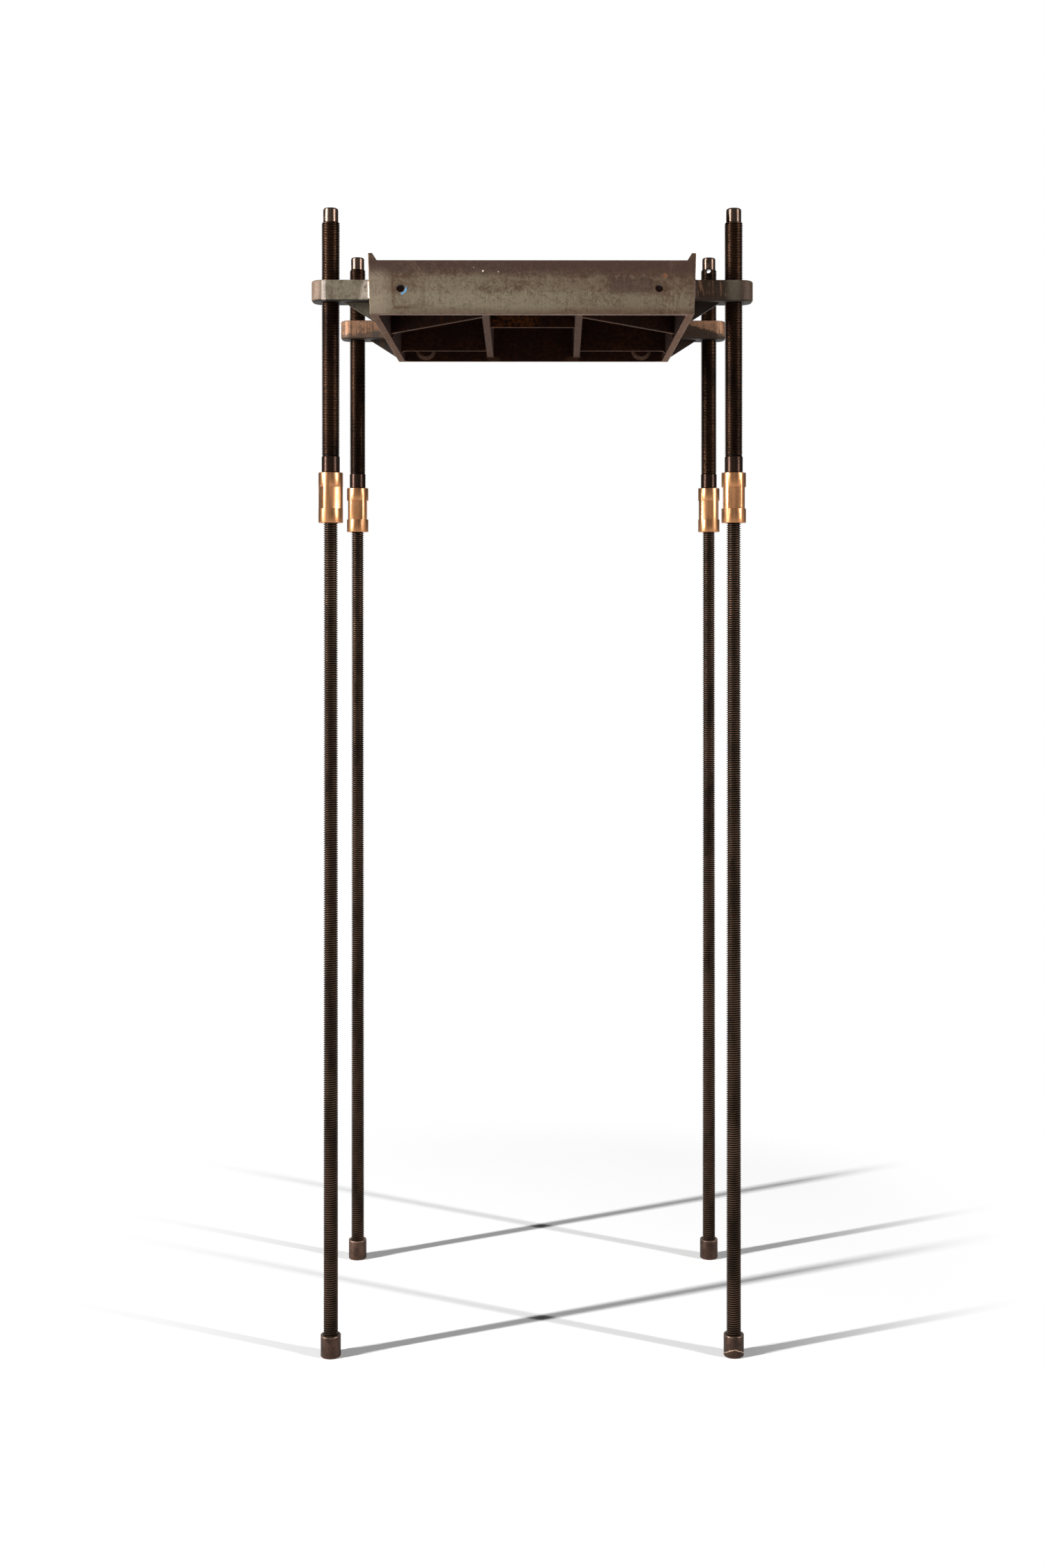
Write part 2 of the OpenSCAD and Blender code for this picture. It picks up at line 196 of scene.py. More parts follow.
def revolve(bm, profile, steps):
    """Spins a profile of (radius, level) points round the Z axis."""
    verts = [bm.verts.new((r, 0, z)) for r, z in profile]
    edges = [bm.edges.new(pair) for pair in zip(verts, verts[1:])]
    bmesh.ops.spin(bm, geom=verts + edges, cent=(0, 0, 0), axis=(0, 0, 1),
                   angle=2 * math.pi, steps=steps, use_merge=True)


def arc(centre_r, centre_z, radius, start, end, steps=5):
    """Points of an arc in a profile, with angles in degrees."""
    turns = [math.radians(start + (end - start) * i / steps) for i in range(steps + 1)]
    return [(centre_r + radius * math.cos(a), centre_z + radius * math.sin(a)) for a in turns]


def thread(bm, radius, pitch, length, steps, chamfer):
    """Right-hand thread from the origin up to a length, open and chamfered at both ends."""
    root = radius - DEPTH_SHARE * pitch
    crest_end = FLANK_SHARE + CREST_SHARE
    profile = [(root, 0), (radius, FLANK_SHARE), (radius, crest_end),
               (root, crest_end + FLANK_SHARE), (root, 1)]
    verts = [bm.verts.new((r, 0, (share - 1) * pitch)) for r, share in profile]
    edges = [bm.edges.new(pair) for pair in zip(verts, verts[1:])]
    bmesh.ops.spin(bm, geom=verts + edges, cent=(0, 0, 0), axis=(0, 0, 1),
                   dvec=(0, 0, pitch / steps), angle=2 * math.pi, steps=steps)
    turns = 1
    while turns * pitch < length + pitch:
        copy = bmesh.ops.duplicate(bm, geom=bm.verts[:] + bm.edges[:] + bm.faces[:])
        moved = [g for g in copy["geom"] if isinstance(g, bmesh.types.BMVert)]
        bmesh.ops.translate(bm, vec=(0, 0, turns * pitch), verts=moved)
        turns *= 2
    bmesh.ops.remove_doubles(bm, verts=bm.verts, dist=SEAM)
    for level, normal in ((0, (0, 0, -1)), (length, (0, 0, 1))):
        bmesh.ops.bisect_plane(bm, geom=bm.verts[:] + bm.edges[:] + bm.faces[:], dist=1e-7,
                               plane_co=(0, 0, level), plane_no=normal, clear_outer=True)
    for v in bm.verts:
        from_end = min(v.co.z, length - v.co.z)
        limit = radius - chamfer + from_end
        r = math.hypot(v.co.x, v.co.y)
        if r > limit:
            v.co.x *= limit / r
            v.co.y *= limit / r


def crest_layer(bm, radius, pitch, low, high):
    """Point attribute that is 1 on the crests of a thread and 0 at its roots."""
    layer = bm.verts.layers.float.new("crest")
    depth = DEPTH_SHARE * pitch
    for v in bm.verts:
        if low - SEAM <= v.co.z <= high + SEAM:
            v[layer] = max(0, 1 - (radius - math.hypot(v.co.x, v.co.y)) / depth)


def to_object(bm, name, outer_angle=OUTER_ANGLE):
    """Makes an object of a bmesh, smooth except at its sharp edges."""
    for f in bm.faces:
        f.smooth = True
    for e in bm.edges:
        limit = outer_angle if e.is_convex else HOLLOW_ANGLE
        e.smooth = len(e.link_faces) == 2 and e.calc_face_angle(0) < math.radians(limit)
    mesh = bpy.data.meshes.new(name)
    bm.to_mesh(mesh)
    bm.free()
    made = bpy.data.objects.new(name, mesh)
    bpy.context.scene.collection.objects.link(made)
    return made


def finished(made, finish, body, slot, *nodes):
    """Gives a piece its material and its body, and hides the nodes that it stands for."""
    made.data.materials.clear()
    made.data.materials.append(finish)
    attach(made, body)
    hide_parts(*nodes)


def cut_from(made, *cuts):
    """Cuts other objects out of a piece and removes them."""
    for cut in cuts:
        step = made.modifiers.new("cut", "BOOLEAN")
        step.operation = "DIFFERENCE"
        step.solver = "EXACT"
        step.object = cut
    bpy.context.view_layer.update()
    shown = made.evaluated_get(bpy.context.evaluated_depsgraph_get())
    mesh = bpy.data.meshes.new_from_object(shown)
    made.modifiers.clear()
    made.data = mesh
    for cut in cuts:
        bpy.data.objects.remove(cut)
    return made


def leg_centre(leg):
    """Middle of a leg on the floor, from its foot."""
    low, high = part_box("foot_" + leg)
    return Vector(((low.x + high.x) / 2, (low.y + high.y) / 2, 0))


def placed(model, name, leg, turn):
    """Copy of a piece, turned about the Z axis and moved to its leg in its mesh."""
    made = bpy.data.objects.new(name + "_" + leg, model.data.copy())
    bpy.context.scene.collection.objects.link(made)
    made.data.transform(Matrix.Translation(leg_centre(leg)) @ Matrix.Rotation(math.radians(turn), 4, "Z"))
    return made


def screw_mesh(name, spigot_z, collar_z):
    """Elevating screw on the Z axis: spigot, collar, thread and turned tip, with a cross hole along X."""
    thread_z = collar_z + COLLAR_H
    tip_z = thread_z + SCREW_THREAD
    bm = bmesh.new()
    thread(bm, SCREW_R, SCREW_PITCH, SCREW_THREAD, SCREW_STEPS, THREAD_CHAMFER)
    bmesh.ops.translate(bm, vec=(0, 0, thread_z), verts=bm.verts)
    crest_layer(bm, SCREW_R, SCREW_PITCH, thread_z, tip_z)
    spigot = [(0, spigot_z), (ROD_R - ROD_CHAMFER, spigot_z),
              (ROD_R, spigot_z + ROD_CHAMFER), (ROD_R, collar_z)]
    collar = [(SCREW_R - THREAD_CHAMFER, collar_z), (SCREW_R, collar_z + THREAD_CHAMFER),
              (SCREW_R, thread_z - RELIEF), (SCREW_R - RELIEF, thread_z)]
    revolve(bm, spigot + collar, SCREW_STEPS)
    rounding = arc(TIP_R - TIP_ROUND, tip_z + TIP_H - TIP_ROUND, TIP_ROUND, 0, 90)
    revolve(bm, [(TIP_R, tip_z)] + rounding + [(0, tip_z + TIP_H)], SCREW_STEPS)
    bmesh.ops.remove_doubles(bm, verts=bm.verts, dist=SEAM)
    for z in (thread_z, tip_z):
        bmesh.ops.bridge_loops(bm, edges=flat_z(bm, z))
    merged(bm)
    screw = to_object(bm, name)
    bm = bmesh.new()
    across = Matrix.Rotation(math.pi / 2, 4, "Y")
    bmesh.ops.create_cone(bm, cap_ends=True, segments=HOLE_STEPS, radius1=HOLE_R, radius2=HOLE_R,
                          depth=6 * SCREW_R, matrix=Matrix.Translation((0, 0, tip_z - HOLE_DROP)) @ across)
    return cut_from(screw, to_object(bm, "hole_cut"))


def rod_mesh(name, foot_z, length):
    """Lower rod on the Z axis, threaded from end to end."""
    bm = bmesh.new()
    thread(bm, ROD_R, ROD_PITCH, length, ROD_STEPS, ROD_CHAMFER)
    for z in (0, length):
        bmesh.ops.contextual_create(bm, geom=flat_z(bm, z))
    bmesh.ops.translate(bm, vec=(0, 0, foot_z), verts=bm.verts)
    crest_layer(bm, ROD_R, ROD_PITCH, foot_z, foot_z + length)
    return to_object(merged(bm), name)


def coupling_mesh(name, low, high):
    """Coupling on the Z axis: a bored sleeve with four milled flats, the first facing +X."""
    bm = bmesh.new()
    soft = EDGE_ROUND
    profile = [(BORE_R, low + soft), (BORE_R + soft, low)]
    profile += arc(COUPLING_R - soft, low + soft, soft, -90, 0, 3)
    profile += arc(COUPLING_R - soft, high - soft, soft, 0, 90, 3)
    profile += [(BORE_R + soft, high), (BORE_R, high - soft)]
    revolve(bm, profile + profile[:1], COUPLING_STEPS)
    blank = to_object(merged(bm), "blank")
    cuts = []
    for quarter in range(4):
        bm = bmesh.new()
        bmesh.ops.create_cube(bm, size=1)
        bmesh.ops.scale(bm, vec=(COUPLING_R, 4 * COUPLING_R, FLAT_H), verts=bm.verts)
        bmesh.ops.translate(bm, vec=((FLAT_ACROSS + COUPLING_R) / 2, 0, (low + high) / 2), verts=bm.verts)
        bmesh.ops.rotate(bm, matrix=Matrix.Rotation(quarter * math.pi / 2, 3, "Z"), verts=bm.verts)
        cuts.append(to_object(bm, "flat_cut"))
    cut_from(blank, *cuts)
    bm = bmesh.new()
    bm.from_mesh(blank.data)
    bpy.data.objects.remove(blank)
    bmesh.ops.remove_doubles(bm, verts=bm.verts, dist=CUT_SEAM)
    sharp = [e for e in bm.edges if len(e.link_faces) == 2 and e.calc_face_angle(0) > math.radians(CUT_ANGLE)]
    bmesh.ops.bevel(bm, geom=sharp, offset=FLAT_EDGE, offset_type="OFFSET", segments=2, profile=0.5,
                    affect="EDGES", clamp_overlap=True, material=-1)
    merged(bm)
    flat = bm.faces.layers.float.new("flat")
    for f in bm.faces:
        f[flat] = abs(f.calc_center_median().dot(f.normal) - FLAT_ACROSS / 2) < FACE_PLAY
    return to_object(bm, name)


def foot_mesh(name, height):
    """Foot on the Z axis: a turned cup with a rounded bottom edge and a countersunk mouth."""
    soft = EDGE_ROUND
    bm = bmesh.new()
    profile = [(0, 0)] + arc(FOOT_R - FOOT_ROUND, FOOT_ROUND, FOOT_ROUND, -90, 0)
    profile += arc(FOOT_R - soft, height - soft, soft, 0, 90, 3)
    profile += [(BORE_R + FOOT_SINK, height), (BORE_R, height - FOOT_SINK)]
    profile += [(BORE_R, FOOT_FLOOR), (0, FOOT_FLOOR)]
    revolve(bm, profile, FOOT_STEPS)
    return to_object(merged(bm), name)


def is_rubbed(face):
    """True for a narrow face along an outer edge, such as a chamfer or one strip of a rounding."""
    longest = max(e.calc_length() for e in face.edges)
    ridge = any(e.is_convex and e.calc_length() > longest / 2 and e.calc_face_angle(0) > EDGE_TURN
                for e in face.edges if len(e.link_faces) == 2)
    return ridge and longest > 2 * EDGE_W and face.calc_area() < EDGE_W * longest


def bed_mesh(name):
    """Casting from the frame's own bed, with its faces marked for the finish."""
    low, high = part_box("planer_bed")
    bm = bmesh.new()
    bm.from_mesh(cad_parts["planer_bed"].data)
    bmesh.ops.remove_doubles(bm, verts=bm.verts, dist=CAST_SEAM)
    bmesh.ops.dissolve_limit(bm, angle_limit=math.radians(1), verts=bm.verts, edges=bm.edges)
    marks = {mark: bm.faces.layers.float.new(mark) for mark in BED_MARKS}
    for f in bm.faces:
        f.normal_update()
        middle = f.calc_center_bounds()

        # Rims face down, and the cones of the bosses face down and to the front
        inside = abs(middle.x) < INNER_X and abs(middle.y) < high.y - SKIRT_T and middle.z < high.z - DECK_Z
        rim = f.normal.z < -0.3 and abs(f.normal.y) < 0.3 and middle.z < low.z + RIM_H
        boss = inside and -0.95 < f.normal.z < -0.15 and middle.y > high.y - BOSS_Y
        f[marks["inside"]] = inside * (0.6 if rim else 0.5 if boss else 1)
        f[marks["rim"]] = rim or boss
        f[marks["top"]] = f.normal.z > 0.9 and abs(middle.z - high.z + GUIDE_H * MM) < FACE_PLAY
        f[marks["worn"]] = is_rubbed(f) and not inside
        lug = abs(middle.x) > BED_W / 2 * MM and middle.z > high.z - LUG_LOW

        # Undersides of lugs and webs, in full where they face nearly straight down, for their painted shade
        f[marks["under"]] = lug * min(1, max(0, -f.normal.z * 2 - 0.6))
    casting = to_object(bm, name, CAST_ANGLE)
    step = casting.modifiers.new("flat_faces", "WEIGHTED_NORMAL")
    step.keep_sharp = True
    return casting


class Wire:
    """One output in a node tree. Arithmetic on it adds Math nodes."""

    def __init__(self, tree, socket):
        self.tree = tree
        self.socket = socket

    def __add__(self, other):
        return self.tree.math("ADD", self, other)

    def __radd__(self, other):
        return self.tree.math("ADD", other, self)

    def __sub__(self, other):
        return self.tree.math("SUBTRACT", self, other)

    def __rsub__(self, other):
        return self.tree.math("SUBTRACT", other, self)

    def __truediv__(self, other):
        return self.tree.math("DIVIDE", self, other)

    def __mul__(self, other):
        return self.tree.math("MULTIPLY", self, other)

    def __rmul__(self, other):
        return self.tree.math("MULTIPLY", other, self)

    def size(self):
        """The value without its sign."""
        return self.tree.math("ABSOLUTE", self)

    def rise(self, low, high):
        """0 below low and 1 above high, or the other way round where low is the larger."""
        return self.tree.node("ShaderNodeMapRange", {"interpolation_type": "SMOOTHSTEP"},
                              {"Value": self, "From Min": low, "From Max": high})

    def within(self, low, high, soft):
        """1 between low and high, fading over a soft border."""
        return self.rise(low - soft, low + soft) * self.rise(high + soft, high - soft)


class Nodes:
    """A node tree that is filled by plain expressions."""

    def __init__(self, tree, place="Object"):
        self.tree = tree
        tree.nodes.clear()
        self.place = self.node("ShaderNodeTexCoord", {}, {}, place)

    def node(self, kind, settings, sockets, output=0):
        """Adds a node with its settings, then the values or links of its sockets."""
        made = self.tree.nodes.new(kind)
        for name, value in settings.items():
            setattr(made, name, value)
        for key, value in sockets.items():
            if isinstance(value, Wire):
                self.tree.links.new(value.socket, made.inputs[key])
            else:
                made.inputs[key].default_value = value
        return Wire(self, made.outputs[output]) if made.outputs else made

    def math(self, operation, first, second=0):
        """Result of one Math node."""
        return self.node("ShaderNodeMath", {"operation": operation}, {0: first, 1: second})

    def axes(self, vector):
        """The three values of a vector."""
        return [self.node("ShaderNodeSeparateXYZ", {}, {0: vector}, i) for i in range(3)]

    def millimetres(self):
        """Place on the piece in millimetres, as three values."""
        return self.axes(self.node("ShaderNodeVectorMath", {"operation": "SCALE"}, {0: self.place, 3: 1000}))

    def attribute(self, name):
        """A mark that the mesh carries."""
        return self.node("ShaderNodeAttribute", {"attribute_name": name}, {}, "Fac")

    def light_path(self, kind):
        """1 for rays of one kind and 0 for the others."""
        return self.node("ShaderNodeLightPath", {}, {}, kind)

    def noise(self, size, stretch=(1, 1, 1), detail=4, rough=0.55, warp=0, turn=0):
        """Noise round 0, from about -0.3 to 0.3, with spots of a size in millimetres times the stretch.

        The turn about the Y axis, in degrees, leans a stretched pattern on the front face.
        """
        place = self.place
        if turn:
            lean = (0, math.radians(turn), 0)
            place = self.node("ShaderNodeMapping", {}, {"Vector": place, "Rotation": lean})
        scale = tuple(1 / (size * MM * s) for s in stretch)
        place = self.node("ShaderNodeVectorMath", {"operation": "MULTIPLY"}, {0: place, 1: scale})
        return self.node("ShaderNodeTexNoise", {}, {"Vector": place, "Scale": 1, "Detail": detail,
                                                    "Roughness": rough, "Distortion": warp}) - 0.5

    def away(self, u, v, middle_u=0, middle_v=0):
        """Distance from a point of a plane."""
        across, up = u - middle_u, v - middle_v
        return self.math("SQRT", across * across + up * up)

    def blend(self, share, first, second):
        """Colour that goes from the first to the second with the share."""
        return self.node("ShaderNodeMix", {"data_type": "RGBA"}, {0: share, 6: first, 7: second}, 2)

    def shade(self, colour, light):
        """Colour made lighter or darker by a value."""
        return self.node("ShaderNodeVectorMath", {"operation": "SCALE"}, {0: colour, 3: light})

    def surface(self, colour, roughness, metallic, height, depth, gloss=0.5):
        """The finished surface, with a bump of a depth in millimetres."""
        normal = self.node("ShaderNodeBump", {}, {"Height": height, "Distance": depth * MM, "Strength": 1})
        shader = self.node("ShaderNodeBsdfPrincipled", {}, {"Base Color": colour, "Roughness": roughness,
                                                            "Metallic": metallic, "Normal": normal,
                                                            "Specular IOR Level": gloss})
        self.node("ShaderNodeOutputMaterial", {}, {"Surface": shader})


def srgb(red, green, blue):
    """Colour from screen values of 0 to 255, as the linear colour that a shader takes."""
    def linear(value):
        share = value / 255
        return share / 12.92 if share <= 0.04045 else ((share + 0.055) / 1.055) ** 2.4
    return (linear(red), linear(green), linear(blue), 1)


def new_finish(name):
    """New material and its empty node tree."""
    material = bpy.data.materials.new(name)
    material.use_nodes = True
    return material, Nodes(material.node_tree)


def bed_finish():
    """Old planed casting: grey-green bloom over brown iron, bare copper-brown streaks and worn edges."""
    material, n = new_finish("bed_iron")
    x, y, z = n.millimetres()
    low, high = (corner * 1000 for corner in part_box("planer_bed"))
    table = high.z - GUIDE_H
    side = BED_W / 2
    worn, top, rim, inside, under = (n.attribute(mark) for mark in BED_MARKS)
    front = y.rise(low.y + 1, low.y + 0.7)
    cloud = n.noise(34, (1, 1, 0.6), 5, 0.6)
    mottle = n.noise(5, (1, 1, 0.8), 5, 0.7)
    spots = n.noise(1.8, (1, 1, 1), 4, 0.7)
    grain = n.noise(0.7, (1, 1, 1.3), 3, 0.7)
    streak = n.noise(1.1, (1, 1, 26), 3)
    wave = n.noise(22, (2.2, 2.2, 0.3), 4)

    # Grey-green bloom, strongest in a zone below the middle and fading to the right
    level = table - z + mottle * 5 + spots * 3 + wave * 5
    zone = level.rise(6, 17) * 0.46 + level.within(27, 42, 3.5) * 0.32
    bloom = zone - front * x.rise(-60, 110) * 0.36 + cloud * 1.3 + mottle + spots * 1.2 + streak * 0.4
    colour = n.blend((bloom - (1 - front) * 0.15).rise(-0.25, 1.25), BROWN_IRON, GREEN_BLOOM)
    stain = (mottle * 0.8 + cloud * 0.8 + spots + level.rise(38, 44) * 0.18).rise(0.02, 0.4)
    colour = n.blend(stain * 0.55, colour, RUST_BROWN)
    band = level.rise(16.5, 5.5) * (0.85 - (z - table).rise(-0.5, 1.5) * 0.45)
    colour = n.blend(front * band, colour, DARK_BROWN)
    pale = (x + mottle * 16).rise(-side + 24, -side + 8) * (table - z).rise(3, 16)
    colour = n.blend(front * pale * 0.45, colour, PALE_IRON)

    colour, marks = front_marks(n, colour, x, z, table, front, (mottle, spots, streak))
    colour, bare = lug_colours(n, colour, x, y, z, table, mottle)
    # Painted shade on the undersides of the lugs and webs, deepest at the front left, with no bare metal
    # there
    painted_under_shade = under * (0.6 + x.rise(1, -1) * y.rise(1, -1) * 0.3)
    colour = n.blend(painted_under_shade, colour, LUG_SHADE)
    bare = bare * (1 - under)

    # Table, machined lengthwise
    feed = n.noise(0.45, (1, 260, 1), 3)
    table_light = (feed * 1.4 + cloud * 1.2 + mottle * 0.7 + 0.5).rise(0.1, 0.9)
    colour = n.blend(top * 0.9, colour, n.blend(table_light, TABLE_DARK, TABLE_LIGHT))

    # Underside: raw casting, rust in the front bay, dark back ends of the long ribs, speckled rims
    soot = (cloud + mottle * 1.5 + 0.5).rise(0.3, 0.95)
    raw = n.blend(soot, SOOT, RAW_CASTING)
    rusty = y.rise(-50, -60) * (x + mottle * 30).within(-36, 6, 4) * (mottle * 2 + spots + 0.4).rise(0.2, 0.7)
    flare = y.rise(high.y - 12, high.y - 8) * (x.size() + mottle * 4).within(34, 47, 2)
    flare = flare * z.rise(low.z + 6, low.z + 3)
    raw = n.blend((rusty + flare * 0.6).rise(0, 1), raw, n.blend(flare, DECK_RUST, RIM_DARK))
    speck = (spots * 1.6 + grain + mottle * 0.8).rise(-0.12, 0.22)
    colour = n.blend(rim, colour, n.blend(speck, RIM_LIGHT, RIM_DARK))
    skirt = rim * x.size().rise(122, 128)
    colour = n.blend(inside * (1 - skirt * 0.75), colour, raw)

    rubbed = worn * (mottle * 1.5 + spots + 0.62).rise(0.3, 0.8)
    colour = n.blend(rubbed * 0.7, colour, WORN_EDGE)
    hidden = 1 - inside
    # Painted light on the rims of the side skirts, stronger on the right one
    painted_strip_light = skirt * (x.rise(-1, 1) * 0.25 + 0.12)
    light = 1 + grain * 0.9 * hidden + mottle * 0.45 + spots * 0.75 * hidden + marks + painted_strip_light
    metal = (rubbed * 0.5 + bare * 0.5 + top * 0.45 + 0.25) * hidden + inside * 0.25
    rough = 0.56 + inside * 0.4 - rubbed * 0.15 - bare * 0.1 - top * 0.18 + grain * 0.25 + stain * 0.1
    height = grain + streak * 0.4 * hidden + mottle * inside * 9 + spots * (rim + inside) * 2 + marks * 0.5
    n.surface(n.shade(colour, light), rough, metal, height, 0.16, 0.25)
    return material


def marked_area(across, level, table, area, soft_across, soft_level):
    """1 inside an area of the front and 0 outside it, with soft borders."""
    (left, right), (low, high) = area
    return across.within(left, right, soft_across) * level.within(table - low, table - high, soft_level)


def front_marks(n, colour, x, z, table, front, patterns):
    """Marks on the front face: a bracket's outline, stained holes, a smear, scratches and specks."""
    mottle, spots, streak = patterns
    u, v = x + mottle * 7 + spots * 2, z + mottle * 6 + spots * 2
    hole_z = table - HOLE_DEPTH

    # Outline that a bracket left round the left hole
    outside = marked_area(u, v, table, BRACKET_OUTER, 1, 1)
    within = marked_area(u, v, table, BRACKET_INNER, 1.4, 1.4)
    faded = 1 - u.rise(-108, -96) * 0.7
    outline = outside * (1 - within * 0.8) * (mottle * 2 + spots + 0.7).rise(0.1, 0.8) * faded
    colour = n.blend(front * outline * 0.85, colour, RUST_BROWN)
    drips = marked_area(x, v + streak * 10, table, DRIPS, 3, 1) * (mottle + 0.5).rise(0.4, 0.6)
    colour = n.blend(front * drips * 0.6, colour, RUST_BROWN)

    # Rings round the holes, and an orange spot above the right one
    for middle in HOLES_X:
        from_hole = n.away(u, v, middle, hole_z)
        colour = n.blend(front * from_hole.rise(7.5, 4) * 0.55, colour, RUST_BROWN)
    orange = n.away(u, v, ORANGE_SPOT[0], table - ORANGE_SPOT[1]).rise(3, 0.4)
    colour = n.blend(front * orange * 0.4, colour, ORANGE_RUST)

    # Dark smear left of the right hole, with a ragged lower edge
    ragged = z + streak * 12 + mottle * 18 + spots * 5
    smear = marked_area(x + mottle * 16, ragged, table, SMEAR, 2.5, 1.5)
    patch = smear * ((z - table + 29) * 0.12 + mottle * 2.4 + 0.5).rise(0.2, 0.9)
    colour = n.blend(front * patch * 0.65, colour, DARK_BROWN)

    # Chalk round the left hole, blue dust below it, and pale specks
    round_hole = n.away(x, z, HOLES_X[0], hole_z).within(*CHALK_RING, 0.25)
    lower_right = x.rise(HOLES_X[0] - 0.5, HOLES_X[0] + 1.5) * z.rise(hole_z + 2, hole_z - 1)
    chalk = round_hole * lower_right * spots.rise(-0.2, -0.02)
    dust = n.away(x, z, HOLES_X[0] - 0.3, hole_z - 9).rise(3.4, 1.5) * spots.rise(0.13, 0.2)
    colour = n.blend(front * (chalk * 0.7 + dust * 0.6), colour, CHALK_BLUE)
    for across, drop, radius in SPECKS:
        speck = n.away(x + spots * 2, z + spots * 2, across, table - drop).rise(radius, radius * 0.4)
        colour = n.blend(front * speck, colour, PALE_SPECK)

    # Light scratches to the lower right, short dark ticks, a sheen at the right end and fine lines
    long_scratch = n.noise(0.55, (1, 1, 80), 1, 0.5, 0, 36).rise(0.1, 0.16) * (mottle + 0.35).rise(0.2, 0.5)
    long_scratch = long_scratch * marked_area(x, z, table, SCRATCHES, 5, 2)
    ticks = n.noise(0.8, (1, 1, 14), 1, 0.5, 0.6, -6).rise(0.13, 0.18) * marked_area(x, z, table, TICKS, 4, 2)
    sheen = n.noise(2.2, (1, 1, 9), 2, 0.5, 0, -14).rise(0.02, 0.2) * x.within(*SHEEN_X, 3)
    fine = n.noise(0.35, (1, 1, 60), 2, 0.5, 0, 4)
    marks = long_scratch * 0.8 - ticks * 0.4 + sheen * 0.35 + fine * 0.35
    return colour, marks * front


def lug_colours(n, colour, x, y, z, table, mottle):
    """Lugs and webs: grey-green at the front left, brown with bare copper streaks at the others."""
    lug = x.size().rise(BED_W / 2 + 0.2, BED_W / 2 + 0.7)
    left, fore = x.rise(1, -1), y.rise(1, -1)
    green = left * fore
    pale = left * (1 - fore)
    out = x.size() - BED_W / 2
    depth = table - LUG_DROP - z + mottle * 12
    upper = (left * 10.7 - 0.5 + out * (0.3 - left * 0.2) - depth).rise(-1.5, 1.5)
    long_streak = n.noise(1.7, (1, 1, 16), 3, 0.65)

    # Base colour, and bare metal in upright streaks, most on the upper part of the back lugs
    mossy = n.blend((mottle * 2 + 0.7).rise(0, 1), LUG_BROWN, LUG_GREEN)
    base = n.blend(green, n.blend(pale, LUG_DARK, LUG_BROWN), mossy)
    above = upper * (0.32 - left * 0.08)
    beneath = (1 - upper) * (0.3 - left * 0.16)
    share = pale * 0.02 + (1 - fore) * (above - beneath) - green * 0.1
    bare = (long_streak * 1.3 + mottle * 0.6 + share).rise(0.02, 0.42) * lug
    base = n.blend((1 - left) * (1 - fore) * upper * 0.55, base, LUG_COPPER)

    # Front right lug: a green patch, a brown end and a pale line near its root
    dark_right = (1 - left) * fore
    base = n.blend(dark_right * (out + mottle * 12).within(30, 41, 5) * 0.5, base, LUG_GREEN)
    base = n.blend(dark_right * (out + mottle * 3).rise(LEG_OUT + 5, LEG_OUT + 8) * 0.7, base, LUG_BROWN)
    pale_line = dark_right * (out - depth * 0.25 + mottle * 6).within(3.5, 6.5, 1) * depth.rise(13, 8)
    colour = n.blend(lug * 0.9, colour, base)
    colour = n.blend((bare + pale_line * 0.5).rise(0, 1) * 0.66, colour, BARE_COPPER)

    # Grey patches on the back left lug, shade below all lugs, and a dark spot at the front left
    gap = out + mottle * 8
    patch = pale * (gap.within(-1, 9, 1) + gap.within(14, 20.5, 1)) * depth.rise(9, 12) * lug
    colour = n.blend(patch * 0.85, colour, LUG_GREY)
    bare = bare * (1 - patch)
    below = depth.rise(LUG_T - 0.5, LUG_T + 2) * lug
    colour = n.blend(below * (0.35 + dark_right * 0.4), colour, LUG_SHADE)
    spot = n.away(x, z, -BED_W / 2 - LEG_OUT - 14.3, table - LUG_DROP - 8.2).rise(1.1, 0.5)
    colour = n.blend(green * spot * 0.9, colour, LUG_SHADE)

    # Bright end and chipped root of the front left lug
    end = (out + long_streak * 3).rise(LEG_OUT + 6, LEG_OUT + 8)
    glint = (out + mottle * 2).within(LEG_OUT + 3.2, LEG_OUT + 6.4, 0.8) * (long_streak + 0.7).rise(0.3, 0.8)
    root = (out - depth * 0.2 + mottle * 12).rise(9, 5) * depth.rise(LUG_T + 1, LUG_T - 2)
    chipped = root * (mottle * 2.4 + 0.62).rise(0.3, 0.6)
    colour = n.blend(green * lug * end * 0.8, colour, LUG_END)
    colour = n.blend(green * lug * (glint + chipped * 0.52).rise(0, 1), colour, BRIGHT_IRON)
    return colour, (bare * 0.6 + green * lug * (glint + chipped)).rise(0, 1)


